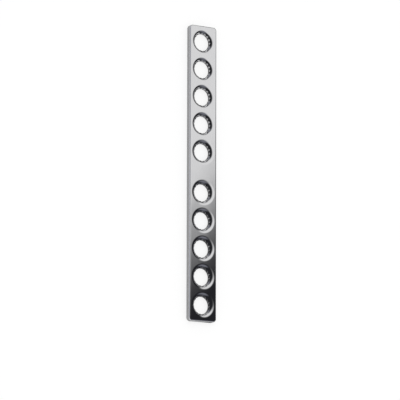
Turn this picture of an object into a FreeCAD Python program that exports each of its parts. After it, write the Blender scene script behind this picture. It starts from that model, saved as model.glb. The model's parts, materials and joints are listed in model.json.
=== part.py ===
"""Straight bone plate with two rows of five countersunk, notched screw holes.

Sizes are millimetres. The plate lies on the face that meets the bone: X runs
across it, Y along it and Z through it, and the origin is under its middle.
"""
import FreeCAD, Part
import math
import os
import Sketcher

DRIVING_SIZES = {
    "plate_thickness": 2.0,
    "corner_radius": 1.0,
    "front_edge_radius": 0.4,
    "back_edge_bevel": 0.25,
    "holes_per_row": 5,
    "land_between_holes": 0.51,
    "land_beside_holes": 0.63,
    "land_at_ends": 0.9,
    "land_at_middle": 4.26,
    "bore_diameter": 5.1,
    "sink_depth": 0.8,
    "lip_radius": 1.25,
    "relief_diameter": 5.5,
    "relief_height": 0.4,
    "notch_count": 16,
    "notch_width": 0.6,
    "notch_depth": 0.2,
    "notch_height": 0.4,
    "cut_overrun": 0.5,
}

LIP_RUN = "((sqrt(2) - 1) * Sizes.lip_radius)"
MOUTH_DIAMETER = f"(Sizes.bore_diameter + 2 * Sizes.sink_depth + 2 * {LIP_RUN})"
HOLE_PITCH = f"({MOUTH_DIAMETER} + Sizes.land_between_holes)"
MIDDLE_GAP = f"({MOUTH_DIAMETER} + Sizes.land_at_middle)"
ROW_LENGTH = f"((Sizes.holes_per_row - 1) * {HOLE_PITCH})"
HOLES_LENGTH = f"({MIDDLE_GAP} + 2 * {ROW_LENGTH} + {MOUTH_DIAMETER})"
PLATE_WIDTH = f"({MOUTH_DIAMETER} + 2 * Sizes.land_beside_holes)"
PLATE_LENGTH = f"({HOLES_LENGTH} + 2 * Sizes.land_at_ends)"

FRONT_Z = "Sizes.plate_thickness"
ABOVE_Z = f"({FRONT_Z} + Sizes.cut_overrun)"
LIP_FOOT_Z = f"({FRONT_Z} - (1 - sqrt(0.5)) * Sizes.lip_radius)"
BORE_TOP_Z = f"({FRONT_Z} - Sizes.sink_depth)"
NOTCH_FLOOR_Z = f"({BORE_TOP_Z} - Sizes.notch_height)"
BORE_FOOT_Z = "Sizes.relief_height"
BACK_Z = "0"
BELOW_Z = "(-Sizes.cut_overrun)"

AXIS_Y = f"({MIDDLE_GAP} / 2)"
RELIEF_Y = f"({AXIS_Y} + Sizes.relief_diameter / 2)"
BORE_Y = f"({AXIS_Y} + Sizes.bore_diameter / 2)"
MOUTH_Y = f"({AXIS_Y} + {MOUTH_DIAMETER} / 2)"
LIP_FOOT_Y = f"({MOUTH_Y} - sqrt(0.5) * Sizes.lip_radius)"
NOTCH_TIP_Y = f"({BORE_Y} + Sizes.notch_depth)"
NOTCH_BASE_Y = f"({BORE_Y} - Sizes.notch_depth)"

HOLE_SECTION = (
    (AXIS_Y, BELOW_Z),
    (RELIEF_Y, BELOW_Z),
    (RELIEF_Y, BACK_Z),
    (BORE_Y, BORE_FOOT_Z),
    (BORE_Y, BORE_TOP_Z),
    (LIP_FOOT_Y, LIP_FOOT_Z),
    (MOUTH_Y, FRONT_Z),
    (MOUTH_Y, ABOVE_Z),
    (AXIS_Y, ABOVE_Z),
)
LIP = 5

NOTCH_OUTLINE = (
    ("Sizes.notch_width", NOTCH_BASE_Y),
    ("0", NOTCH_TIP_Y),
    ("(-Sizes.notch_width)", NOTCH_BASE_Y),
)

START, END, CENTRE = 1, 2, 3
SKETCH_ORIGIN = (-1, 1)
TOLERANCE = 1e-6


def make_sheet(document):
    """Write each driving size in a row of its own, with its name as the alias."""
    sheet = document.addObject("Spreadsheet::Sheet", "Sizes")
    for row, (name, value) in enumerate(DRIVING_SIZES.items(), start=1):
        sheet.set(f"A{row}", name)
        sheet.set(f"B{row}", str(value))
        sheet.setAlias(f"B{row}", name)
    document.recompute()
    return sheet


def origin_feature(body, role):
    """Find one of the body's own planes or axes."""
    return next(item for item in body.Origin.OriginFeatures if item.Role == role)


def new_sketch(body, name, plane):
    """Start a sketch on one of the body's own planes."""
    sketch = body.newObject("Sketcher::SketchObject", name)
    sketch.AttachmentSupport = [(origin_feature(body, plane), "")]
    sketch.MapMode = "FlatFace"
    return sketch


def join(sketch, first, second):
    """Make two sketch points one."""
    sketch.addConstraint(Sketcher.Constraint("Coincident", *first, *second))


def add_size(sketch, kind, places, value, formula):
    """Give a sketch one size and tie it to a formula on the sheet."""
    index = sketch.addConstraint(Sketcher.Constraint(kind, *places, value))
    sketch.setExpression(f"Constraints[{index}]", formula)


def hold_point(sketch, point, formulas):
    """Hold a sketch point at its place, across and up from the origin."""
    place = sketch.getPoint(*point)
    across, up = formulas
    add_size(sketch, "DistanceX", (*SKETCH_ORIGIN, *point), place.x, across)
    add_size(sketch, "DistanceY", (*SKETCH_ORIGIN, *point), place.y, up)


def draw_rectangle(sketch, sheet):
    """Draw the plate's rectangle, with the sketch's origin at its middle."""
    width = sheet.evalExpression(PLATE_WIDTH)
    length = sheet.evalExpression(PLATE_LENGTH)
    corners = [
        FreeCAD.Vector(-width / 2, -length / 2, 0),
        FreeCAD.Vector(width / 2, -length / 2, 0),
        FreeCAD.Vector(width / 2, length / 2, 0),
        FreeCAD.Vector(-width / 2, length / 2, 0),
    ]
    sides = [
        sketch.addGeometry(Part.LineSegment(corners[turn - 1], corners[turn]))
        for turn in range(len(corners))
    ]
    for turn, side in enumerate(sides):
        join(sketch, (sides[turn - 1], END), (side, START))
    left, near, right, far = sides
    for side in (near, far):
        sketch.addConstraint(Sketcher.Constraint("Horizontal", side))
    for side in (left, right):
        sketch.addConstraint(Sketcher.Constraint("Vertical", side))
    opposite = (near, START, far, START)
    sketch.addConstraint(Sketcher.Constraint("Symmetric", *opposite, *SKETCH_ORIGIN))
    add_size(sketch, "DistanceX", (near, START, near, END), width, PLATE_WIDTH)
    add_size(sketch, "DistanceY", (right, START, right, END), length, PLATE_LENGTH)


def draw_line(sketch, start, end):
    """Draw a line and return its two end points."""
    line = sketch.addGeometry(Part.LineSegment(start, end))
    return (line, START), (line, END)


def draw_lip(sketch, start, end):
    """Draw the arc that runs up out of the 45 degree sink and ends level."""
    radius = (end.x - start.x) * math.sqrt(2)
    centre = FreeCAD.Vector(end.x, end.y - radius, 0)
    circle = Part.Circle(centre, FreeCAD.Vector(0, 0, 1), radius)
    arc = Part.ArcOfCircle(circle, math.pi / 2, 3 * math.pi / 4)
    lip = sketch.addGeometry(arc)
    middle = (*SKETCH_ORIGIN, lip, CENTRE)
    add_size(sketch, "DistanceX", middle, centre.x, MOUTH_Y)
    return (lip, END), (lip, START)


def draw_closed(sketch, sheet, outline, curved_piece=None):
    """Draw a closed outline with each of its corners held by its own formulas."""
    corners = [
        FreeCAD.Vector(sheet.evalExpression(across), sheet.evalExpression(up), 0)
        for across, up in outline
    ]
    pieces = []
    for index, start in enumerate(corners):
        end = corners[(index + 1) % len(corners)]
        draw = draw_lip if index == curved_piece else draw_line
        pieces.append(draw(sketch, start, end))
    for index, (start, end) in enumerate(pieces):
        join(sketch, pieces[index - 1][1], start)
        hold_point(sketch, start, outline[index])


def edges_where(shape, test):
    """Name the edges of a shape that pass a test."""
    return [f"Edge{n}" for n, edge in enumerate(shape.Edges, start=1) if test(edge)]


def stands_upright(edge):
    """Tell whether an edge runs straight up, as the outline's corners do."""
    box = edge.BoundBox
    return box.XLength + box.YLength < TOLERANCE


def lies_at(height):
    """Make a test for the edges that lie flat at one height."""

    def lies_there(edge):
        box = edge.BoundBox
        return max(abs(box.ZMin - height), abs(box.ZMax - height)) < TOLERANCE

    return lies_there


def dress_edges(body, kind, name, edges, size, size_name):
    """Round or bevel the edges of the latest feature that pass a test."""
    base, test = edges
    dressed = body.newObject(f"PartDesign::{kind}", name)
    dressed.Base = (base, edges_where(base.Shape, test))
    dressed.setExpression(size, f"Sizes.{size_name}")
    body.Document.recompute()
    return dressed


def make_blank(body, sheet):
    """Make the plate with its corners and edges dressed, before its holes."""
    outline = new_sketch(body, "PlateOutline", "XY_Plane")
    draw_rectangle(outline, sheet)
    plate = body.newObject("PartDesign::Pad", "PlateBlank")
    plate.Profile = outline
    plate.setExpression("Length", FRONT_Z)
    body.Document.recompute()
    upright = (plate, stands_upright)
    corners = dress_edges(body, "Fillet", "Corners", upright, "Radius", "corner_radius")
    front = (corners, lies_at(sheet.plate_thickness))
    rim = dress_edges(body, "Fillet", "FrontEdge", front, "Radius", "front_edge_radius")
    back = (rim, lies_at(0))
    return dress_edges(body, "Chamfer", "BackEdge", back, "Size", "back_edge_bevel")


def cut_hole(body, sheet):
    """Turn the hole nearest the middle: relief, bore, sink and rounded lip."""
    section = new_sketch(body, "HoleSection", "YZ_Plane")
    draw_closed(section, sheet, HOLE_SECTION, curved_piece=LIP)
    hole = body.newObject("PartDesign::Groove", "ScrewHole")
    hole.Profile = section
    hole.ReferenceAxis = (section, [f"Edge{len(HOLE_SECTION)}"])
    hole.Angle = 360
    body.Document.recompute()
    return hole


def cut_notch(body, sheet):
    """Cut one pointed notch where the hole's sink meets its bore."""
    outline = new_sketch(body, "NotchOutline", "XY_Plane")
    outline.setExpression("AttachmentOffset.Base.z", NOTCH_FLOOR_Z)
    draw_closed(outline, sheet, NOTCH_OUTLINE)
    notch = body.newObject("PartDesign::Pocket", "Notch")
    notch.Profile = outline
    notch.Reversed = True
    notch.setExpression("Length", f"{ABOVE_Z} - {NOTCH_FLOOR_Z}")
    body.Document.recompute()
    return notch


def round_the_hole(body, section):
    """Make the pattern that repeats a notch round the hole's axis."""
    ring = body.newObject("PartDesign::PolarPattern", "NotchRing")
    ring.Axis = (section, [f"Edge{len(HOLE_SECTION)}"])
    ring.Angle = 360
    ring.setExpression("Occurrences", "Sizes.notch_count")
    return ring


def along_the_plate(body, name):
    """Make the patterns that repeat a cut for a row and for the other half."""
    row = body.newObject("PartDesign::LinearPattern", f"{name}Row")
    row.Direction = (origin_feature(body, "Y_Axis"), [""])
    row.Mode = "Spacing"
    row.setExpression("Offset", HOLE_PITCH)
    row.setExpression("Occurrences", "Sizes.holes_per_row")
    other_half = body.newObject("PartDesign::Mirrored", f"{name}OtherHalf")
    other_half.MirrorPlane = (origin_feature(body, "XZ_Plane"), [""])
    return [row, other_half]


def repeat(body, name, cut, patterns):
    """Repeat a cut by each of its patterns in turn."""
    copies = body.newObject("PartDesign::MultiTransform", name)
    copies.Originals = [cut]
    copies.Transformations = patterns
    body.Tip = copies
    body.Document.recompute()
    return copies


def check_copies(before, cut, copies, count):
    """Make sure that each copy of a cut takes as much as the first one does."""
    first_cut = before.Shape.Volume - cut.Shape.Volume
    all_cuts = before.Shape.Volume - copies.Shape.Volume
    print(cut.Name, "takes", round(first_cut, 4), "mm3,", count, "copies", all_cuts)
    if first_cut < TOLERANCE or abs(all_cuts - count * first_cut) > count * TOLERANCE:
        raise RuntimeError(f"{copies.Name} is short of {count} copies")


def check_document(document):
    """Stop at any object that failed to rebuild."""
    for item in document.Objects:
        if "Invalid" in item.State or "Error" in item.State:
            raise RuntimeError(f"{item.Name} failed: {item.State}")


def write_step(body):
    """Check the finished solid and write it under its label."""
    shape = body.Shape
    if shape.isNull() or not shape.isValid() or len(shape.Solids) != 1:
        raise RuntimeError(f"{body.Label} isn't one sound solid")
    shape.exportStep(os.path.join("parts", f"{body.Label}.step"))
    box = shape.BoundBox
    print(body.Label, box.XLength, box.YLength, box.ZLength, shape.Volume)


def main():
    os.makedirs("parts", exist_ok=True)
    document = FreeCAD.newDocument("BonePlate")
    sheet = make_sheet(document)
    body = document.addObject("PartDesign::Body", "BonePlateBody")
    body.Label = "bone_plate"
    hole_count = 2 * sheet.holes_per_row

    blank = make_blank(body, sheet)
    hole = cut_hole(body, sheet)
    holes = repeat(body, "ScrewHoles", hole, along_the_plate(body, "Hole"))
    check_copies(blank, hole, holes, hole_count)

    notch = cut_notch(body, sheet)
    ring = round_the_hole(body, hole.Profile[0])
    patterns = [ring] + along_the_plate(body, "Notch")
    notches = repeat(body, "HoleNotches", notch, patterns)
    check_copies(holes, notch, notches, hole_count * sheet.notch_count)

    check_document(document)
    write_step(body)


main()
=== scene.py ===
"""Looks of the straight bone plate: polished steel, lying on a pale floor.

Lengths are metres in the frame of the CAD model: X runs across the plate, Y
along it and Z up through it, and the floor is at Z = 0.
"""
import json
import math

import bmesh
import bpy
from mathutils import Matrix, Vector


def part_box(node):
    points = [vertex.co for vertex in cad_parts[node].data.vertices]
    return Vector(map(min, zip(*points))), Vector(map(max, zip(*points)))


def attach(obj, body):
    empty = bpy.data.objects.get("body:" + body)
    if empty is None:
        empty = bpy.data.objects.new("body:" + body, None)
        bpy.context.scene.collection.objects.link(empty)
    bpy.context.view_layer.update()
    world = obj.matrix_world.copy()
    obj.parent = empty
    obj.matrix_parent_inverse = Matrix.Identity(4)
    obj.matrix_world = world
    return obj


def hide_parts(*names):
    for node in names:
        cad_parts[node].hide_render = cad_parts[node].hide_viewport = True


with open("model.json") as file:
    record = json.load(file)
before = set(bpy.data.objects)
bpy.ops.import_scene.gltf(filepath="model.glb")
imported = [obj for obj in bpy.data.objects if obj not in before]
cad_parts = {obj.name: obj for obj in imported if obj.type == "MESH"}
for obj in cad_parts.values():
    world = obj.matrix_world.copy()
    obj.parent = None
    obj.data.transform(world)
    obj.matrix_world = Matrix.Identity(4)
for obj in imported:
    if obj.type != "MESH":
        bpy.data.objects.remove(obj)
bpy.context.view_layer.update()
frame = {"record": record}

MM = 0.001
NODE = "bone_plate"
BODY = "root"
STEEL_SLOT = "polished_steel"

# Sizes of the plate's edges and holes.
CORNER_RADIUS = 1.0 * MM
FRONT_EDGE_RADIUS = 0.4 * MM
BACK_EDGE_BEVEL = 0.25 * MM
SINK_DEPTH = 0.8 * MM
LIP_RADIUS = 1.25 * MM
RELIEF_RADIUS = 2.75 * MM
RELIEF_HEIGHT = 0.4 * MM
NOTCH_COUNT = 16
NOTCH_WIDTH = 0.6 * MM
NOTCH_DEPTH = 0.2 * MM
NOTCH_HEIGHT = 0.4 * MM

# How finely the mesh follows the curves.
STEPS_PER_NOTCH = 6
LIP_STEPS = 8
EDGE_STEPS = 8
CORNER_STEPS = 12
FLAT_MARGIN = 0.03 * MM
MERGE_DISTANCE = 0.0001 * MM
SHARP_ANGLE = math.radians(20)
SINK_ANGLE = math.radians(45)

# The photograph's view of the plate, and the camera.
VIEW_TURN = math.radians(30.67)
VIEW_DIP = math.radians(11.34)
VIEW_ROLL = math.radians(0.12)
VIEW_DISTANCE = 721 * MM
IMAGE_SIZE = 400
PLATE_CENTRE_X_PIXEL = 203.24
PLATE_CENTRE_Y_PIXEL = 172.03
MM_PER_PIXEL = 0.2905
SENSOR_WIDTH = 36
CLIP_START = 0.01
CLIP_END = 20

# The steel. A grain is how many patches fit in a metre across, along and up.
STEEL_DARK = (0.75, 0.75, 0.765, 1)
STEEL_BRIGHT = (0.81, 0.81, 0.815, 1)
STEEL_ROUGHNESS = (0.06, 0.12)
HAZE_GRAIN = (500, 300, 500)
HAZE_DETAIL = 4
LINE_GRAIN = (9000, 500, 9000)
LINE_DETAIL = 3
LINE_HEIGHT = 0.002 * MM
WAVE_GRAIN = (150, 90, 150)
WAVE_DETAIL = 1
WAVE_HEIGHT = 0.1 * MM
NOISE_ROUGHNESS = 0.6
NOISE_LOW = 0.3
NOISE_HIGH = 0.7

# The floor, and the grey card that only reflections show, which holds painted
# reflection.
# The card darkens across the plate as painted shade and brightens past its near
# end as a painted pale reflection, between two distances.
FLOOR_REACH = 4.0
FLOOR_HEIGHT = -0.01 * MM
FLOOR_COLOUR = 0.25
FLOOR_LIFT = 0.77
WORLD_LIGHT = 0.95
CARD_REACH = 300 * MM
CARD_HEIGHT = -0.005 * MM
CARD_LIGHT_SIDE = 0.54
CARD_DARK_SIDE = 0.12
CARD_NEAR_END = 0.95
ACROSS = (1, 0, 0)
CARD_SIDE_FADE = (-1 * MM, 3 * MM)
PAST_NEAR_END = (0, -1, 0)
CARD_END_FADE = (44.5 * MM, 46 * MM)

# The softbox. Each of its edges fades in along a direction, between two
# distances in millimetres.
SOFTBOX_HEIGHT = 55 * MM
SOFTBOX_LOW = (-70 * MM, -75 * MM)
SOFTBOX_HIGH = (430 * MM, 395 * MM)
SOFTBOX_LIGHT = 0.83
SOFTBOX_EDGES = (
    ((-1.2, 1, 0), -70, -22),
    ((0.7, 1, 0), -54, -4),
    ((1, 0, 0), -67, -13.5),
    ((-0.746, 0.666, 0), -54, -6),
    ((0, -1, 0), -394, -100),
)

# The room round it. Heights and sides are shares of the room's radius.
ROOM_RADIUS = 3.0
ROOM_SUBDIVISIONS = 5
ROOM_LIGHT = 0.02
ROOM_TINT = (0.93, 0.95, 1.1, 1)
HORIZON_LIGHT = 0.78
HORIZON_TOP = 0.16
HORIZON_FULL = -0.04
HORIZON_SIDE_FADE = (-0.5, 0.2)
WINDOW_LIGHT = 0.95
WINDOW_TOP = 0.45
WINDOW_FULL = 0.2
LAMP_LIGHT = 0.18
LAMP_DIRECTION = (0.45, -0.66, 0.6)
LAMP_EDGE = 0.84


def set_node(node, **values):
    """Set a shader node's input sockets by name."""
    for name, value in values.items():
        node.inputs[name.replace("_", " ")].default_value = value


def new_material(name):
    """Start an empty node material and return it with its node tree."""
    material = bpy.data.materials.new(name)
    material.use_nodes = True
    material.node_tree.nodes.clear()
    return material, material.node_tree


def stretched_noise(tree, place, stretch, detail):
    """Noise with stretched grains, given how many fit in a metre each way."""
    mapping = tree.nodes.new("ShaderNodeMapping")
    set_node(mapping, Scale=stretch)
    noise = tree.nodes.new("ShaderNodeTexNoise")
    set_node(noise, Scale=1.0, Detail=detail, Roughness=NOISE_ROUGHNESS)
    tree.links.new(place, mapping.inputs["Vector"])
    tree.links.new(mapping.outputs["Vector"], noise.inputs["Vector"])
    return noise.outputs["Fac"]


def spread(tree, noise, low, high):
    """Spread noise between two values."""
    ramp = tree.nodes.new("ShaderNodeMapRange")
    set_node(ramp, From_Min=NOISE_LOW, From_Max=NOISE_HIGH)
    set_node(ramp, To_Min=low, To_Max=high)
    tree.links.new(noise, ramp.inputs["Value"])
    return ramp.outputs["Result"]


def raise_by(tree, height, distance, normal=None):
    """Bump the surface by a height and return the new normal."""
    bump = tree.nodes.new("ShaderNodeBump")
    set_node(bump, Distance=distance)
    tree.links.new(height, bump.inputs["Height"])
    if normal:
        tree.links.new(normal, bump.inputs["Normal"])
    return bump.outputs["Normal"]


def polished_steel():
    """Bright polished steel: buffing lines, faint waves and patches of haze."""
    material, tree = new_material(STEEL_SLOT)
    nodes, links = tree.nodes, tree.links
    output = nodes.new("ShaderNodeOutputMaterial")
    steel = nodes.new("ShaderNodeBsdfPrincipled")
    set_node(steel, Metallic=1.0)
    place = nodes.new("ShaderNodeTexCoord").outputs["Object"]
    haze = stretched_noise(tree, place, HAZE_GRAIN, HAZE_DETAIL)
    lines = stretched_noise(tree, place, LINE_GRAIN, LINE_DETAIL)
    waves = stretched_noise(tree, place, WAVE_GRAIN, WAVE_DETAIL)
    links.new(spread(tree, haze, *STEEL_ROUGHNESS), steel.inputs["Roughness"])
    tone = nodes.new("ShaderNodeMix")
    tone.data_type = "RGBA"
    dark, bright = [socket for socket in tone.inputs if socket.type == "RGBA"]
    dark.default_value = STEEL_DARK
    bright.default_value = STEEL_BRIGHT
    mixed, = [socket for socket in tone.outputs if socket.type == "RGBA"]
    links.new(spread(tree, lines, 0, 1), tone.inputs["Factor"])
    links.new(mixed, steel.inputs["Base Color"])
    wavy = raise_by(tree, waves, WAVE_HEIGHT)
    links.new(raise_by(tree, lines, LINE_HEIGHT, wavy), steel.inputs["Normal"])
    links.new(steel.outputs["BSDF"], output.inputs["Surface"])
    return material


def add_ring(mesh, points):
    """Add a closed ring of vertices."""
    return [mesh.verts.new(point) for point in points]


def bridge(mesh, first, second):
    """Join two rings of equal length with a band of faces."""
    for index in range(len(first)):
        after = (index + 1) % len(first)
        near, far = (first[index], first[after]), (second[after], second[index])
        mesh.faces.new(near + far)


def bridge_all(mesh, rings):
    """Join each ring to the next and return the first and the last."""
    for first, second in zip(rings, rings[1:]):
        bridge(mesh, first, second)
    return rings[0], rings[-1]


def fill_face(mesh, rings):
    """Fill the flat face between an outer ring and the rings of its holes."""
    edges = [
        mesh.edges.get((ring[index - 1], ring[index]))
        for ring in rings
        for index in range(len(ring))
    ]
    bmesh.ops.triangle_fill(mesh, edges=edges, use_beauty=True)


def notch_radius(angle, bore_radius):
    """How far the notches reach out from the hole's axis at an angle."""
    pitch = 2 * math.pi / NOTCH_COUNT
    aside = abs((angle + pitch / 2) % pitch - pitch / 2)
    tip = bore_radius + NOTCH_DEPTH
    taper = NOTCH_DEPTH / (NOTCH_WIDTH / 2)
    flank = tip / (math.cos(aside) + taper * math.sin(aside))
    return max(bore_radius, flank)


def hole_section(angle, bore_radius, thickness):
    """Radius and height of each ring down a hole's wall, front to back."""
    mouth = bore_radius + SINK_DEPTH + (math.sqrt(2) - 1) * LIP_RADIUS
    sink_foot = thickness - SINK_DEPTH
    section = [(mouth + FLAT_MARGIN, thickness)]
    for step in range(LIP_STEPS + 1):
        turn = SINK_ANGLE * step / LIP_STEPS
        radius = mouth - LIP_RADIUS * math.sin(turn)
        section.append((radius, thickness - LIP_RADIUS * (1 - math.cos(turn))))
    reach = notch_radius(angle, bore_radius)
    notch_top = sink_foot + (reach - bore_radius)
    notch_floor = sink_foot - NOTCH_HEIGHT
    section += [
        (reach, notch_top),
        (reach, notch_floor),
        (bore_radius, notch_floor),
        (bore_radius, RELIEF_HEIGHT),
        (RELIEF_RADIUS, 0),
    ]
    return section


def make_hole(mesh, centre_y, bore_radius, thickness):
    """Make one hole's wall and return its rings on the front and back faces."""
    count = NOTCH_COUNT * STEPS_PER_NOTCH
    angles = [2 * math.pi * step / count for step in range(count)]
    sections = [hole_section(angle, bore_radius, thickness) for angle in angles]
    rings = []
    for level in zip(*sections):
        places = []
        for angle, (radius, height) in zip(angles, level):
            x = radius * math.cos(angle)
            y = centre_y + radius * math.sin(angle)
            places.append((x, y, height))
        rings.append(add_ring(mesh, places))
    return bridge_all(mesh, rings)


def outline_points(inset, height, half_width, half_length):
    """The plate's rounded outline, moved in from its edge, at a height."""
    points = []
    for corner in range(4):
        across = 1 if corner in (0, 3) else -1
        along = 1 if corner in (0, 1) else -1
        centre_x = across * (half_width - CORNER_RADIUS)
        centre_y = along * (half_length - CORNER_RADIUS)
        for step in range(CORNER_STEPS + 1):
            turn = math.pi / 2 * (corner + step / CORNER_STEPS)
            radius = CORNER_RADIUS - inset
            x = centre_x + radius * math.cos(turn)
            y = centre_y + radius * math.sin(turn)
            points.append((x, y, height))
    return points


def make_rim(mesh, half_width, half_length, thickness):
    """Make the plate's outer edge and return its rings on both faces."""
    section = [(FRONT_EDGE_RADIUS + FLAT_MARGIN, thickness)]
    for step in range(EDGE_STEPS + 1):
        turn = math.pi / 2 * step / EDGE_STEPS
        inset = FRONT_EDGE_RADIUS * (1 - math.sin(turn))
        drop = FRONT_EDGE_RADIUS * (1 - math.cos(turn))
        section.append((inset, thickness - drop))
    section += [(0, BACK_EDGE_BEVEL), (BACK_EDGE_BEVEL, 0)]
    rings = [
        add_ring(mesh, outline_points(inset, height, half_width, half_length))
        for inset, height in section
    ]
    return bridge_all(mesh, rings)


def make_plate():
    """Make the plate's smooth mesh on the CAD plate's own box and holes."""
    low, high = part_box(NODE)
    half_width, half_length, thickness = high.x, high.y, high.z - low.z
    mounts = frame["record"]["mounts"]
    bores = [mount for mount in mounts if mount["kind"] == "bore"]
    mesh = bmesh.new()
    front_rim, back_rim = make_rim(mesh, half_width, half_length, thickness)
    front, back = [front_rim], [back_rim]
    for bore in bores:
        bore_radius = bore["dims"]["r_mm"] * MM
        centre_y = bore["pos_m"][1]
        mouth, foot = make_hole(mesh, centre_y, bore_radius, thickness)
        front.append(mouth)
        back.append(foot)
    fill_face(mesh, front)
    fill_face(mesh, back)
    bmesh.ops.remove_doubles(mesh, verts=mesh.verts, dist=MERGE_DISTANCE)
    bmesh.ops.recalc_face_normals(mesh, faces=mesh.faces)
    data = bpy.data.meshes.new("plate_surface")
    mesh.to_mesh(data)
    mesh.free()
    data.shade_smooth()
    data.set_sharp_from_angle(angle=SHARP_ANGLE)
    plate = bpy.data.objects.new("plate_surface", data)
    bpy.context.collection.objects.link(plate)
    data.materials.append(polished_steel())
    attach(plate, BODY)
    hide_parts(NODE)
    return plate


def view_axes():
    """The camera's right, up and backward directions."""
    across = math.sin(VIEW_TURN) * math.cos(VIEW_DIP)
    height = math.cos(VIEW_TURN) * math.cos(VIEW_DIP)
    back = Vector((-across, -math.sin(VIEW_DIP), height))
    right = Vector((math.cos(VIEW_TURN), 0, math.sin(VIEW_TURN)))
    up = back.cross(right)
    return right, up, back


def place_camera(thickness):
    """Stand the camera where the photograph was taken from."""
    right, up, back = view_axes()
    plate_centre = Vector((0, 0, thickness))
    place = plate_centre + back * VIEW_DISTANCE
    pixel = MM_PER_PIXEL * MM
    frame_middle = IMAGE_SIZE / 2
    aim = plate_centre - right * (PLATE_CENTRE_X_PIXEL - frame_middle) * pixel
    aim = aim + up * (PLATE_CENTRE_Y_PIXEL - frame_middle) * pixel
    away = (place - aim).normalized()
    side = up.cross(away).normalized()
    side.rotate(Matrix.Rotation(VIEW_ROLL, 3, away))
    over = away.cross(side)
    camera = bpy.data.cameras.new("camera")
    camera.sensor_width = SENSOR_WIDTH
    camera.lens = camera.sensor_width * VIEW_DISTANCE / (IMAGE_SIZE * pixel)
    camera.clip_start = CLIP_START
    camera.clip_end = CLIP_END
    holder = bpy.data.objects.new("camera", camera)
    turn = Matrix((side, over, away)).transposed().to_4x4()
    holder.matrix_world = Matrix.Translation(place) @ turn
    bpy.context.collection.objects.link(holder)
    bpy.context.scene.camera = holder


def add_stage(name, mesh, material, reflected_only=True):
    """Add a piece of the studio, which may be there for reflections alone."""
    mesh.materials.append(material)
    piece = bpy.data.objects.new(name, mesh)
    bpy.context.collection.objects.link(piece)
    if reflected_only:
        piece.visible_camera = False
        piece.visible_diffuse = False
        piece.visible_shadow = False
        piece.visible_transmission = False
        piece.visible_volume_scatter = False


def level_card(name, low, high, height):
    """Make the mesh of a level rectangle between two corners."""
    corners = [
        (low[0], low[1], height),
        (high[0], low[1], height),
        (high[0], high[1], height),
        (low[0], high[1], height),
    ]
    mesh = bpy.data.meshes.new(name)
    mesh.from_pydata(corners, [], [(0, 1, 2, 3)])
    return mesh


def math_node(tree, operation, first, second):
    """Combine two sockets or numbers and return the result's socket."""
    node = tree.nodes.new("ShaderNodeMath")
    node.operation = operation
    for socket, value in zip(node.inputs, (first, second)):
        if isinstance(value, (int, float)):
            socket.default_value = value
        else:
            tree.links.new(value, socket)
    return node.outputs["Value"]


def fade(tree, place, toward, start, end, low=0.0, high=1.0):
    """Run smoothly from low to high, between two distances in a direction."""
    along = tree.nodes.new("ShaderNodeVectorMath")
    along.operation = "DOT_PRODUCT"
    along.inputs[1].default_value = toward
    ramp = tree.nodes.new("ShaderNodeMapRange")
    ramp.interpolation_type = "SMOOTHSTEP"
    set_node(ramp, From_Min=start, From_Max=end, To_Min=low, To_Max=high)
    tree.links.new(place, along.inputs[0])
    tree.links.new(along.outputs["Value"], ramp.inputs["Value"])
    return ramp.outputs["Result"]


def pale_floor():
    """Pale paper that shows white, with the plate's soft shadow on it."""
    material, tree = new_material("pale_floor")
    nodes, links = tree.nodes, tree.links
    output = nodes.new("ShaderNodeOutputMaterial")
    paper = nodes.new("ShaderNodeBsdfDiffuse")
    set_node(paper, Color=(FLOOR_COLOUR, FLOOR_COLOUR, FLOOR_COLOUR, 1))
    glow = nodes.new("ShaderNodeEmission")
    path = nodes.new("ShaderNodeLightPath")
    seen = path.outputs["Is Camera Ray"]
    for ray in ("Is Glossy Ray", "Is Transmission Ray"):
        seen = math_node(tree, "MAXIMUM", seen, path.outputs[ray])
    lift = math_node(tree, "MULTIPLY", seen, FLOOR_LIFT)
    links.new(lift, glow.inputs["Strength"])
    both = nodes.new("ShaderNodeAddShader")
    links.new(paper.outputs["BSDF"], both.inputs[0])
    links.new(glow.outputs["Emission"], both.inputs[1])
    links.new(both.outputs["Shader"], output.inputs["Surface"])
    return material


def painted_reflection_paper():
    """Matt card seen only in reflections: painted shade, dark to one side, and
    a painted pale reflection past the plate's near end.
    """
    material, tree = new_material("painted_reflection_paper")
    output = tree.nodes.new("ShaderNodeOutputMaterial")
    paper = tree.nodes.new("ShaderNodeBsdfDiffuse")
    place = tree.nodes.new("ShaderNodeNewGeometry").outputs["Position"]
    tones = (CARD_LIGHT_SIDE, CARD_DARK_SIDE)
    # Painted shade: the card darkens towards one side of the plate, as its
    # reflections show it.
    side = fade(tree, place, ACROSS, *CARD_SIDE_FADE, *tones)
    # Painted reflection: the card turns pale past the plate's near end.
    near = fade(tree, place, PAST_NEAR_END, *CARD_END_FADE, 0, CARD_NEAR_END)
    painted_tone = math_node(tree, "MAXIMUM", side, near)
    tree.links.new(painted_tone, paper.inputs["Color"])
    tree.links.new(paper.outputs["BSDF"], output.inputs["Surface"])
    return material


def softbox_light():
    """Even light that fades out towards each edge of the softbox."""
    material, tree = new_material("softbox_light")
    nodes, links = tree.nodes, tree.links
    output = nodes.new("ShaderNodeOutputMaterial")
    glow = nodes.new("ShaderNodeEmission")
    set_node(glow, Strength=SOFTBOX_LIGHT)
    clear = nodes.new("ShaderNodeBsdfTransparent")
    mix = nodes.new("ShaderNodeMixShader")
    place = nodes.new("ShaderNodeNewGeometry").outputs["Position"]
    share = 1.0
    for toward, start, end in SOFTBOX_EDGES:
        edge = fade(tree, place, toward, start * MM, end * MM)
        share = math_node(tree, "MULTIPLY", edge, share)
    links.new(share, mix.inputs["Fac"])
    links.new(clear.outputs["BSDF"], mix.inputs[1])
    links.new(glow.outputs["Emission"], mix.inputs[2])
    links.new(mix.outputs["Shader"], output.inputs["Surface"])
    return material


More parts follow.
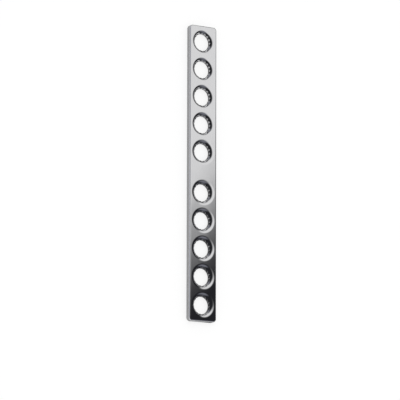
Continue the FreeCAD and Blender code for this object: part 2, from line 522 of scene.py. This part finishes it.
def room_light():
    """The dim room: pale low down on one side, with a window and a lamp."""
    material, tree = new_material("room_light")
    nodes, links = tree.nodes, tree.links
    output = nodes.new("ShaderNodeOutputMaterial")
    glow = nodes.new("ShaderNodeEmission")
    set_node(glow, Color=ROOM_TINT)
    place = nodes.new("ShaderNodeNewGeometry").outputs["Position"]
    scale = 1 / ROOM_RADIUS
    up = (0, 0, scale)
    left = (-scale, 0, 0)
    lamp = [part * scale for part in LAMP_DIRECTION]
    horizon = fade(tree, place, up, HORIZON_FULL, HORIZON_TOP, HORIZON_LIGHT, 0)
    horizon_side = fade(tree, place, left, *HORIZON_SIDE_FADE)
    window = fade(tree, place, up, WINDOW_FULL, WINDOW_TOP, WINDOW_LIGHT, 0)
    window_side = fade(tree, place, left, 0, 1)
    lit = ROOM_LIGHT + LAMP_LIGHT
    light = fade(tree, place, lamp, LAMP_EDGE, 1, ROOM_LIGHT, lit)
    for band, side in ((horizon, horizon_side), (window, window_side)):
        share = math_node(tree, "MULTIPLY", band, side)
        light = math_node(tree, "ADD", light, share)
    links.new(light, glow.inputs["Strength"])
    links.new(glow.outputs["Emission"], output.inputs["Surface"])
    return material


def dome_mesh():
    """Make the mesh of the dome that stands for the room."""
    dome = bmesh.new()
    size = {"subdivisions": ROOM_SUBDIVISIONS, "radius": ROOM_RADIUS}
    bmesh.ops.create_icosphere(dome, **size)
    mesh = bpy.data.meshes.new("room")
    dome.to_mesh(mesh)
    dome.free()
    return mesh


def light_world():
    """Give the whole studio one even, neutral light."""
    world = bpy.data.worlds.new("studio")
    world.use_nodes = True
    background = world.node_tree.nodes["Background"]
    set_node(background, Color=(1, 1, 1, 1), Strength=WORLD_LIGHT)
    bpy.context.scene.world = world


def make_studio():
    """Set up the floor, the reflected cards and the light."""
    low, high = (-FLOOR_REACH, -FLOOR_REACH), (FLOOR_REACH, FLOOR_REACH)
    floor = level_card("floor", low, high, FLOOR_HEIGHT)
    add_stage("floor", floor, pale_floor(), reflected_only=False)
    # A card that only reflections show, painted with shade across the plate and
    # a pale reflection past its near end.
    low, high = (-CARD_REACH, -CARD_REACH), (CARD_REACH, CARD_REACH)
    card = level_card("painted_reflection_card", low, high, CARD_HEIGHT)
    add_stage("painted_reflection_card", card, painted_reflection_paper())
    softbox = level_card("softbox", SOFTBOX_LOW, SOFTBOX_HIGH, SOFTBOX_HEIGHT)
    add_stage("softbox", softbox, softbox_light())
    add_stage("room", dome_mesh(), room_light())
    light_world()


plate = make_plate()
place_camera(plate.dimensions.z)
make_studio()

bpy.context.scene.view_settings.view_transform = "Standard"
